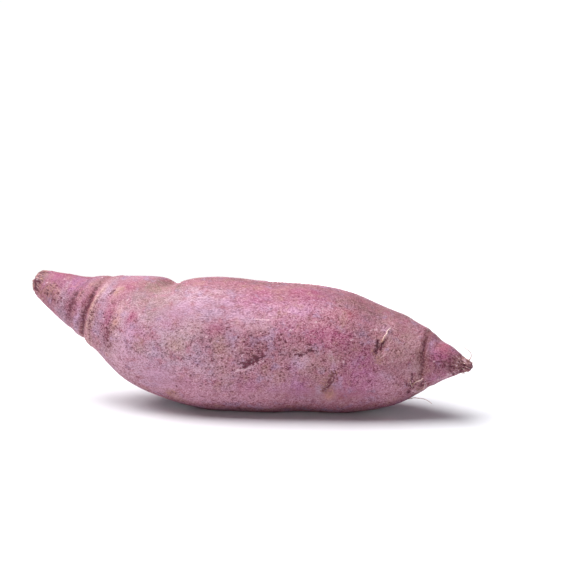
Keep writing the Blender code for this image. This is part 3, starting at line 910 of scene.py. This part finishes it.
final = base + base_normals * (height * MM)[..., None]
final[..., 2] = np.maximum(final[..., 2], 0.0)
corners, faces = close_grid(final)
mesh = bpy.data.meshes.new("skin")
mesh.from_pydata(corners.tolist(), [], faces)
check = bmesh.new()
check.from_mesh(mesh)
volume = check.calc_volume(signed=True)
check.free()
mesh.shade_smooth()
skin = bpy.data.objects.new("skin", mesh)
bpy.context.scene.collection.objects.link(skin)
print("skin:", len(mesh.vertices), "corners,", sum(len(p.vertices) - 2 for p in mesh.polygons), "triangles")
print("volume", round(volume * 1e6, 1), "cm3: a number above 0 tells that the faces point out")


# %% A map of the skin for baking
def lay_out_map(mesh, rows, cols):
    """Unrolls the grid into a square: the length along u and the way round along v."""
    layer = mesh.uv_layers.new(name="OFBake")
    spread = np.empty((len(mesh.loops), 2))
    for polygon in mesh.polygons:
        corners = [mesh.loops[k].vertex_index for k in polygon.loop_indices]
        columns = [v % cols for v in corners if v < rows * cols]
        crosses = max(columns) - min(columns) > cols / 2
        for k, vertex in zip(polygon.loop_indices, corners):
            if vertex >= rows * cols:
                column = (cols - 0.5) if crosses else sum(columns) / len(columns)
                spread[k] = (0.0 if vertex == rows * cols else 1.0), column / cols
            else:
                column = vertex % cols
                column += cols if crosses and column < cols / 2 else 0
                spread[k] = 0.004 + 0.992 * (vertex // cols) / (rows - 1), column / cols
    layer.data.foreach_set("uv", spread.ravel())


lay_out_map(mesh, *girth.shape)
print("map laid out over", len(mesh.loops), "corners")


# %% Attributes for the material
def with_ends(field):
    """The grid's values with those of the two end points added."""
    flat = field.reshape(-1, *field.shape[2:])
    return np.concatenate([flat, field[:1].mean(1), field[-1:].mean(1)])


def store(name, kind, field):
    """Keeps a value for each corner of the skin under this name."""
    layer = mesh.attributes.new(name, kind, "POINT")
    key = {"FLOAT": "value", "FLOAT_VECTOR": "vector", "FLOAT_COLOR": "color"}[kind]
    layer.data.foreach_set(key, with_ends(field).astype(np.float32).ravel())


store("straight", "FLOAT_VECTOR", straight)
pure_colour = np.clip(tint_colour / np.maximum(tint_amount, 1e-4)[..., None], 0, 1)
store("patch_colour", "FLOAT_COLOR", np.concatenate([pure_colour, tint_amount[..., None]], 2))
store("patch_amount", "FLOAT", tint_amount)
for name, field in tint.items():
    store(name, "FLOAT", np.clip(field, 0, 1))
store("hollow", "FLOAT", np.clip(0.5 + fine * 5.0, 0, 1))
store("coarse", "FLOAT", np.clip(coarse, 0, 1.4) / 1.4)
store("upper", "FLOAT", upper)
print("attributes:", [a.name for a in mesh.attributes if not a.name.startswith(".")])

# %% [markdown]
# The skin is thin cork: matt, with a fine grain that breaks the light into glints. A picture used as
# the texture would hold shadows that stay when the root turns, so the material is built of nodes: it
# lays the patches over a rose ground, then painted shade in the hollows and painted highlights on
# the curls of grain less than 1 mm apart, then the cork, the pale scars and glints, and the creases,
# partly painted shade. The bump repeats the grain.

# %% A small helper for node trees
def add(tree, kind, inputs=None, out=0, **settings):
    """Adds a node with its settings, feeds its inputs with values or other nodes' outputs, and
    returns one of its outputs."""
    node = tree.nodes.new(kind)
    for name, value in settings.items():
        setattr(node, name, value)
    for name, value in (inputs or {}).items():
        if isinstance(value, bpy.types.NodeSocket):
            tree.links.new(value, node.inputs[name])
        else:
            node.inputs[name].default_value = value
    return node.outputs[out]


def colour(hex_colour):
    """An sRGB hex colour as the four numbers that a node's socket takes."""
    return (*linear(hex_colour), 1.0)


EASED = {"interpolation_type": "SMOOTHSTEP"}
BLEND = {"data_type": "RGBA", "out": 2}
FACTOR, FIRST, SECOND = 0, 6, 7
print("a mix's inputs: factor", FACTOR, "and colours", FIRST, "and", SECOND)

# %% Skin material: ground and patches
BROAD_MM, HUE_MM, SMALL_MM = 9, 5.5, 2.6


def skin_ground(tree, straight_mm):
    """The cloudy rose ground with its patches of blush, bloom and cork."""
    broad = add(tree, "ShaderNodeTexNoise", {"Vector": straight_mm, "Scale": 1 / BROAD_MM, "Detail": 4.0})
    ragged_clouds = {"Vector": straight_mm, "Detail": 3.0, "Roughness": 0.6}
    hue = add(tree, "ShaderNodeTexNoise", {"Scale": 1 / HUE_MM, **ragged_clouds})
    small = add(tree, "ShaderNodeTexNoise", {"Scale": 1 / SMALL_MM, **ragged_clouds})
    ground = colour("#874959")
    for clouds, low, high, most, tone in (
            (broad, 0.35, 0.65, 1.0, "#985c6f"), (small, 0.38, 0.7, 0.5, "#9e5268"),
            (hue, 0.52, 0.68, 0.8, "#8d6f8e"), (hue, 0.48, 0.32, 0.8, "#9a6a64")):
        share = add(tree, "ShaderNodeMapRange",
                    {"Value": clouds, "From Min": low, "From Max": high, "To Max": most}, **EASED)
        ground = add(tree, "ShaderNodeMix", {FACTOR: share, FIRST: ground, SECOND: colour(tone)}, **BLEND)
    amount = add(tree, "ShaderNodeAttribute", out="Fac", attribute_name="patch_amount")
    patch = add(tree, "ShaderNodeAttribute", out="Color", attribute_name="patch_colour")
    worn = add(tree, "ShaderNodeMapRange",
               {"Value": small, "From Min": 0.32, "From Max": 0.6, "To Min": 0.8}, **EASED)
    share = add(tree, "ShaderNodeMath", {0: amount, 1: worn}, operation="MULTIPLY")
    return add(tree, "ShaderNodeMix", {FACTOR: share, FIRST: ground, SECOND: patch}, **BLEND)


print("ground of clouds", BROAD_MM, HUE_MM, "and", SMALL_MM, "mm wide")

# %% Skin material: grain
CURL_MM, LINE_MM, SPECK_MM = 0.58, 0.52, 0.55


def skin_grain(tree, straight_mm, body):
    """The body colour with painted shade in the hollows, painted highlights on the curls and small
    painted glints, and the grain's height. The real grain is finer: it is drawn somewhat coarser here,
    so that it shows in the render."""
    nets = []
    for stretch, width in ((0.65, CURL_MM), (0.35, LINE_MM)):
        drawn_out = add(tree, "ShaderNodeVectorMath", {0: straight_mm, 1: (stretch, 1.0, 1.0)},
                        operation="MULTIPLY")
        nets.append(add(tree, "ShaderNodeTexNoise", {"Vector": drawn_out, "Scale": 1 / width, "Detail": 1.0}))
    upper = add(tree, "ShaderNodeAttribute", out="Fac", attribute_name="upper")
    net = add(tree, "ShaderNodeMix", {0: upper, 2: nets[0], 3: nets[1]}, data_type="FLOAT")
    ridge = add(tree, "ShaderNodeMath", {0: net, 1: 0.5}, operation="SUBTRACT")
    ridge = add(tree, "ShaderNodeMath", {0: ridge}, operation="ABSOLUTE")
    ridge = add(tree, "ShaderNodeMapRange", {"Value": ridge, "From Max": 0.15, "To Min": 1.0, "To Max": 0.0})
    rough = add(tree, "ShaderNodeAttribute", out="Fac", attribute_name="coarse")
    hollow = add(tree, "ShaderNodeAttribute", out="Fac", attribute_name="hollow")
    level = add(tree, "ShaderNodeMath", {0: ridge, 1: 0.55, 2: hollow}, operation="MULTIPLY_ADD")
    specks = add(tree, "ShaderNodeTexNoise", {"Vector": straight_mm, "Scale": 1 / SPECK_MM, "Detail": 0.0})
    # painted shade darkens the hollows, and painted highlights lighten the curls and the scattered specks
    for source, low, high, most, blend, tone in (
            (level, 0.74, 0.38, 1.4, "MULTIPLY", "#b4949c"), (level, 0.80, 1.06, 2.0, "ADD", "#6a5e64"),
            (specks, 0.56, 0.72, 1.0, "ADD", "#6a5e64")):
        share = add(tree, "ShaderNodeMapRange",
                    {"Value": source, "From Min": low, "From Max": high, "To Max": most}, **EASED)
        share = add(tree, "ShaderNodeMath", {0: share, 1: rough}, operation="MULTIPLY", use_clamp=True)
        body = add(tree, "ShaderNodeMix", {FACTOR: share, FIRST: body, SECOND: colour(tone)},
                   blend_type=blend, **BLEND)
    return body, level


print("grain of curls", CURL_MM, "mm and lines", LINE_MM, "mm wide")

# %% Skin material
CRUMB_MM, BUMP_MM = 0.7, 0.24


def skin_material():
    """Cork skin of a raw root: matt, with painted shade in its pits and dry ridges that catch the light,
    partly through painted highlights.
    """
    material = bpy.data.materials.new("corky_root_skin")
    material.use_nodes = True
    tree = material.node_tree
    shader = tree.nodes["Principled BSDF"]
    straight_mm = add(tree, "ShaderNodeAttribute", out="Vector", attribute_name="straight")
    body, level = skin_grain(tree, straight_mm, skin_ground(tree, straight_mm))

    crumb = add(tree, "ShaderNodeTexNoise", {"Vector": straight_mm, "Scale": 1 / CRUMB_MM, "Detail": 2.0})
    crumb_share = add(tree, "ShaderNodeMapRange", {"Value": crumb, "From Min": 0.38, "From Max": 0.62})
    uneven = add(tree, "ShaderNodeMath", {0: crumb, 1: -0.5}, operation="ADD")
    uneven = add(tree, "ShaderNodeMath", {0: uneven, 1: 6.0, 2: 1.0}, operation="MULTIPLY_ADD")
    # cork is its own colour; pale holds pale scars and painted highlights; crease darkens grooves and pits,
    # partly as painted shade
    for name, dark, light, low, high in (("cork", "#724640", "#ac8076", 0.05, 0.75),
                                         ("pale", "#cfaeb8", "#cfaeb8", 0.12, 1.0),
                                         ("crease", "#3c1024", "#6e2e42", 0.1, 0.75)):
        tone = add(tree, "ShaderNodeMix",
                   {FACTOR: crumb_share, FIRST: colour(dark), SECOND: colour(light)}, **BLEND)
        mask = add(tree, "ShaderNodeAttribute", out="Fac", attribute_name=name)
        mask = add(tree, "ShaderNodeMath", {0: mask, 1: uneven}, operation="MULTIPLY")
        mask = add(tree, "ShaderNodeMapRange", {"Value": mask, "From Min": low, "From Max": high}, **EASED)
        body = add(tree, "ShaderNodeMix", {FACTOR: mask, FIRST: body, SECOND: tone}, **BLEND)
    # all of it a little deeper and pinker, closer to the photograph
    body = add(tree, "ShaderNodeMix", {FACTOR: 1.0, FIRST: body, SECOND: colour("#f9eff1")},
               blend_type="MULTIPLY", **BLEND)
    tree.links.new(body, shader.inputs["Base Color"])

    relief = add(tree, "ShaderNodeMath", {0: crumb, 1: 0.5, 2: level}, operation="MULTIPLY_ADD")
    bump = add(tree, "ShaderNodeBump", {"Strength": 0.9, "Distance": BUMP_MM * MM, "Height": relief})
    tree.links.new(bump, shader.inputs["Normal"])
    gloss = add(tree, "ShaderNodeMapRange",
                {"Value": level, "From Min": 0.4, "From Max": 1.2, "To Min": 0.7, "To Max": 0.42})
    tree.links.new(gloss, shader.inputs["Roughness"])
    shader.inputs["IOR"].default_value = 1.45
    return material


skin.data.materials.append(skin_material())
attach(skin, "root")
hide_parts("sweet_potato")
print("skin material has", len(skin.data.materials[0].node_tree.nodes), "nodes")

# %% [markdown]
# A few fine rootlets are still attached: one curls from the eye, some fray from the pits before the
# tail and from its tip, and one lies under it. Hair particles would scatter them, but these few have
# places of their own, so each is drawn as a line of points that lie on the skin or a little off it.
# Geometry Nodes then turns all the lines into thin tubes: it spaces their points evenly, bends them
# a little at random and thins them towards the end.

# %% Rootlets: where they lie in the photograph
def off_skin(px, py, lift):
    """A point this many mm off the skin that shows at this pixel."""
    i, j = nearest_on_grid(on_root(px, py))
    return final[i, j] + base_normals[i, j] * lift * MM


def in_plane(px, py, depth):
    """The point that shows at this pixel, in the upright plane at this y in mm."""
    start, way = photo_ray(px, py)
    return np.array(start + way * ((depth * MM - start.y) / way.y))


ROOTLETS_ON_SKIN = (
    # pixel and lift in mm of each point, and the radius at the start in mm
    (((381.8, 342.6, -0.2), (382.6, 340.6, 0.5), (384.2, 338.2, 0.9), (386.2, 335.2, 1.0),
      (387.2, 332.2, 0.9), (390, 329.8, 0.5)), 0.42),
    (((412.6, 384.6, -0.2), (416.2, 381, 0.4), (419.4, 378.8, 0.8), (422.4, 376.6, 0.9)), 0.30),
    (((415.2, 388.6, -0.2), (418.4, 389.6, 0.2), (422.6, 388, 0.3), (424.6, 385, 0.3),
      (424.8, 382, -0.1)), 0.20),
    (((409.4, 379, -0.2), (411, 382.6, 0.3), (411.6, 387.4, 0.3)), 0.16),
    (((328.6, 381.6, -0.2), (326.6, 385, 0.15), (324.2, 388.6, 0.1)), 0.14),
)
ROOTLETS_IN_THE_AIR = (
    # pixels of the points, the y in mm of the plane that they lie in, and the radius at the start in mm
    (((466.6, 363.5), (469.6, 359.6), (471.2, 356.4), (470.6, 352.6), (466.8, 349.2),
      (462.2, 346.6)), -21.0, 0.22),
    (((404, 396.5), (408, 399), (414.5, 397.8), (424.9, 399.3), (431.8, 403.4)), -15.0, 0.24),
)
print("rootlets read off:", len(ROOTLETS_ON_SKIN) + len(ROOTLETS_IN_THE_AIR))

# %% Rootlets: the lines that they follow
TIP_FIBRES = 12
LEAST_HEIGHT_MM = 0.4
hairs = []
for pixels, radius in ROOTLETS_ON_SKIN:
    hairs.append((np.array([off_skin(*p) for p in pixels]), radius))
for pixels, depth, radius in ROOTLETS_IN_THE_AIR:
    hairs.append((np.array([in_plane(*p, depth) for p in pixels]), radius))
for number in range(TIP_FIBRES):
    i, j = len(final) - 1 - hidden.integers(3, 14), int(SIDES * (number + 0.5) / TIP_FIBRES)
    outward = ways[-1] * hidden.uniform(0.7, 1.3) + base_normals[i, j] * hidden.uniform(0.0, 0.5)
    reach_out = np.array([-0.2, 0.4, 0.9, 1.4]) * hidden.uniform(0.6, 1.0)
    bend = hidden.normal(0, 0.12, 3)
    hairs.append((np.array([final[i, j] + (outward * r + bend * r * r) * MM for r in reach_out]), 0.17))
for path in eyes[5::2]:
    i, j = nearest_on_grid(path[1])
    side = np.cross(base_normals[i, j], ways[i]) * hidden.choice((-1, 1))
    reach_out = np.linspace(0, hidden.uniform(3, 6), 5)
    lift = np.array([-0.3, 0.5, 0.9, 0.8, 0.5])
    line = [final[i, j] + (side * r + ways[i] * 0.08 * r * r + base_normals[i, j] * up) * MM
            for r, up in zip(reach_out, lift)]
    hairs.append((np.array(line), hidden.uniform(0.16, 0.26)))
# none of them reaches through the table
for path, radius in hairs:
    path[:, 2] = np.maximum(path[:, 2], (radius + LEAST_HEIGHT_MM) * MM)
print("rootlets:", len(hairs))


# %% Rootlets: draw the lines as a mesh of edges
def line_mesh(lines):
    """One mesh of edges, with the tube's radius and the share of the length at each point."""
    points, edges, radii, shares = [], [], [], []
    for path, radius in lines:
        first = len(points)
        points += path.tolist()
        edges += [(first + i, first + i + 1) for i in range(len(path) - 1)]
        share = np.linspace(0, 1, len(path))
        shares += share.tolist()
        radii += (radius * MM * (1 - 0.6 * share)).tolist()
    drawn = bpy.data.meshes.new("rootlets")
    drawn.from_pydata(points, edges, [])
    for name, values in (("thickness", radii), ("share", shares)):
        drawn.attributes.new(name, "FLOAT", "POINT").data.foreach_set("value", values)
    return drawn


lines_drawn = line_mesh(hairs)
print("rootlets drawn with", len(lines_drawn.edges), "edges")

# %% Rootlets: material
def rootlet_material():
    """Dry root fibre: brown where it leaves the skin and cream towards the end, dull, with fine grain."""
    material = bpy.data.materials.new("dry_root_fibre")
    material.use_nodes = True
    tree = material.node_tree
    shader = tree.nodes["Principled BSDF"]
    share = add(tree, "ShaderNodeAttribute", out="Fac", attribute_name="share")
    place = add(tree, "ShaderNodeTexCoord", out="Object")
    streaks = add(tree, "ShaderNodeTexNoise", {"Vector": place, "Scale": 1800.0, "Detail": 2.0})
    along_it = add(tree, "ShaderNodeMapRange", {"Value": share, "From Min": 0.05, "From Max": 0.55}, **EASED)
    tone = add(tree, "ShaderNodeMix",
               {FACTOR: along_it, FIRST: colour("#a87a70"), SECOND: colour("#f0d0ca")}, **BLEND)
    spots = add(tree, "ShaderNodeMapRange",
                {"Value": streaks, "From Min": 0.6, "From Max": 0.4, "To Max": 0.55}, **EASED)
    tone = add(tree, "ShaderNodeMix", {FACTOR: spots, FIRST: tone, SECOND: colour("#8c6252")}, **BLEND)
    tree.links.new(tone, shader.inputs["Base Color"])
    bump = add(tree, "ShaderNodeBump", {"Strength": 0.5, "Distance": 0.05 * MM, "Height": streaks})
    tree.links.new(bump, shader.inputs["Normal"])
    shader.inputs["Roughness"].default_value = 0.7
    shader.inputs["IOR"].default_value = 1.45
    return material


fibre = rootlet_material()
print("rootlet material has", len(fibre.node_tree.nodes), "nodes")

# %% Rootlets: a node tree that makes tubes
def rootlet_tree(material):
    """Spaces the points of each line evenly, bends it a little and makes a tube that thins to its end."""
    tree = bpy.data.node_groups.new("rootlets", "GeometryNodeTree")
    for name, kind in (("Geometry", "Geometry"), ("Spacing", "Float"), ("Wobble", "Float"), ("Sides", "Int")):
        tree.interface.new_socket(name=name, in_out="INPUT", socket_type="NodeSocket" + kind)
    tree.interface.new_socket(name="Geometry", in_out="OUTPUT", socket_type="NodeSocketGeometry")
    lines, spacing, wobble, sides = (add(tree, "NodeGroupInput", out=name)
                                     for name in ("Geometry", "Spacing", "Wobble", "Sides"))
    curve = add(tree, "GeometryNodeMeshToCurve", {"Mesh": lines})
    smooth = add(tree, "GeometryNodeCurveSplineType", {"Curve": curve}, spline_type="CATMULL_ROM")
    evened = add(tree, "GeometryNodeResampleCurve", {"Curve": smooth, "Length": spacing}, mode="LENGTH")
    place = add(tree, "GeometryNodeInputPosition")
    bends = add(tree, "ShaderNodeTexNoise", {"Vector": place, "Scale": 700.0, "Detail": 1.0}, out="Color")
    sway = add(tree, "ShaderNodeVectorMath", {0: bends, 1: (0.5, 0.5, 0.5)}, operation="SUBTRACT")
    sway = add(tree, "ShaderNodeVectorMath", {0: sway, "Scale": wobble}, operation="SCALE")
    bent = add(tree, "GeometryNodeSetPosition", {"Geometry": evened, "Offset": sway})
    thickness = add(tree, "GeometryNodeInputNamedAttribute", {"Name": "thickness"}, out="Attribute")
    round_line = add(tree, "GeometryNodeCurvePrimitiveCircle", {"Resolution": sides, "Radius": 1.0})
    tube = add(tree, "GeometryNodeCurveToMesh",
               {"Curve": bent, "Profile Curve": round_line, "Scale": thickness, "Fill Caps": True})
    smooth_tube = add(tree, "GeometryNodeSetShadeSmooth", {"Geometry": tube})
    real = add(tree, "GeometryNodeRealizeInstances", {"Geometry": smooth_tube})
    finished = add(tree, "GeometryNodeSetMaterial", {"Geometry": real, "Material": material})
    out = tree.nodes.new("NodeGroupOutput")
    tree.links.new(finished, out.inputs["Geometry"])
    return tree


tubes = rootlet_tree(fibre)
print("tube tree has", len(tubes.nodes), "nodes")


# %% Rootlets: the piece
def grown(name, start_mesh, tree, settings):
    """The mesh that a node tree grows from a start mesh, as a finished piece with no modifier left."""
    seedling = bpy.data.objects.new(name + "_start", start_mesh)
    bpy.context.scene.collection.objects.link(seedling)
    modifier = seedling.modifiers.new("grow", "NODES")
    modifier.node_group = tree
    for item in tree.interface.items_tree:
        if item.in_out == "INPUT" and item.name in settings:
            modifier[item.identifier] = settings[item.name]
    graph = bpy.context.evaluated_depsgraph_get()
    graph.update()
    evaluated = seedling.evaluated_get(graph)
    mesh = bpy.data.meshes.new_from_object(evaluated, preserve_all_data_layers=True, depsgraph=graph)
    bpy.data.objects.remove(seedling)
    piece = bpy.data.objects.new(name, mesh)
    bpy.context.scene.collection.objects.link(piece)
    return piece


rootlets = grown("rootlets", lines_drawn, tubes, {"Spacing": 0.3 * MM, "Wobble": 0.25 * MM, "Sides": 7})
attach(rootlets, "root")
print("rootlets:", sum(len(p.vertices) - 2 for p in rootlets.data.polygons), "triangles")

# %% [markdown]
# The root lies on a plain pale sheet in soft light. The photograph was lit by one broad light
# overhead with white all round, which gives the bright upper edge, the even front and the short dark
# shadow. A wide floor would turn grey far from the lamp, so the sheet is a small disc: seen from the
# front, the white room takes over past its rim without a line.

# %% Table
SHEET_RADIUS, RIM_POINTS = 0.3, 96
rim_turns = [2 * math.pi * i / RIM_POINTS for i in range(RIM_POINTS)]
rim = [(SHEET_RADIUS * math.cos(t), SHEET_RADIUS * math.sin(t), 0) for t in rim_turns]
floor_mesh = bpy.data.meshes.new("table")
floor_mesh.from_pydata(rim, [], [tuple(range(RIM_POINTS))])
table = bpy.data.objects.new("table", floor_mesh)
bpy.context.scene.collection.objects.link(table)
# cast acrylic: smooth and softly glossy, so that it faintly mirrors the belly
acrylic = bpy.data.materials.new("white_acrylic_sheet")
acrylic.use_nodes = True
gloss_white = acrylic.node_tree.nodes["Principled BSDF"]
gloss_white.inputs["Base Color"].default_value = (0.92, 0.92, 0.95, 1)
gloss_white.inputs["Roughness"].default_value = 0.14
gloss_white.inputs["Specular IOR Level"].default_value = 0.2
table.data.materials.append(acrylic)
print("table:", 2 * SHEET_RADIUS, "m across")


# %% Light
def area_light(name, place, aim, size, power):
    """A soft box that shines from a place towards a point."""
    light = bpy.data.lights.new(name, "AREA")
    light.shape = "RECTANGLE"
    light.size, light.size_y = size
    light.energy = power
    lamp = bpy.data.objects.new(name, light)
    bpy.context.scene.collection.objects.link(lamp)
    lamp.location = place
    lamp.visible_camera = False
    lamp.rotation_euler = (Vector(aim) - Vector(place)).to_track_quat("-Z", "Y").to_euler()
    return lamp


area_light("overhead_softbox", (-0.25, 0.06, 0.64), (0, 0, 0.02), (0.8, 0.8), 13.3)
area_light("front_fill", (-0.1, -0.75, 0.30), (0, 0, 0.03), (0.9, 0.2), 1.5)
area_light("back_fill", (0.1, 0.80, 0.05), (0, 0, 0.03), (0.9, 0.08), 1.8)
world = bpy.data.worlds.new("white_room")
bpy.context.scene.world = world
world.use_nodes = True
room = world.node_tree
lights_up = room.nodes["Background"]
lights_up.inputs["Color"].default_value = (0.78, 0.80, 1.0, 1)
lights_up.inputs["Strength"].default_value = 0.09
white = add(room, "ShaderNodeBackground", {"Color": (1, 1, 1, 1), "Strength": 1.02})
seen = add(room, "ShaderNodeLightPath", out="Is Camera Ray")
backdrop = add(room, "ShaderNodeMixShader", {0: seen, 1: lights_up.outputs[0], 2: white})
room.links.new(backdrop, room.nodes["World Output"].inputs["Surface"])
bpy.context.scene.view_settings.view_transform = "Standard"
